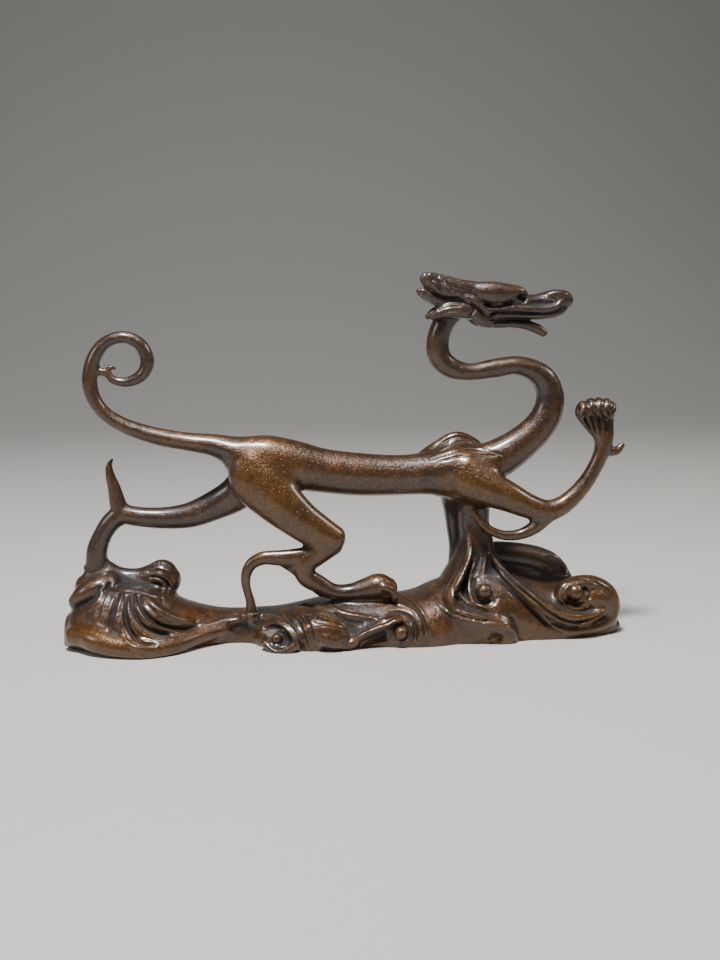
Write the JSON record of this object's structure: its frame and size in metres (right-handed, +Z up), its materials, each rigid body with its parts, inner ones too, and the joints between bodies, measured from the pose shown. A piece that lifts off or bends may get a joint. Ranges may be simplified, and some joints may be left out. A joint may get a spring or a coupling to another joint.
{
  "type": "dragon sculpture",
  "caption": "Small cast bronze ornament: a slender dragon with a curled tail and a raised foreleg strides over a base of curling waves.",
  "frame": {"origin": "on the standing surface, under the middle of the casting's box", "axes": "+X the way the dragon walks, along its length; +Z up; -Y towards the side it is meant to be seen from"},
  "size_m": [0.141, 0.0288, 0.0907],
  "materials": {
    "bronze": "cast bronze with a dark brown patina, rubbed to a satin gloss on the high places"
  },
  "bodies": {
    "root": {"dragon_on_waves": "bronze"}
  },
  "joints": []
}
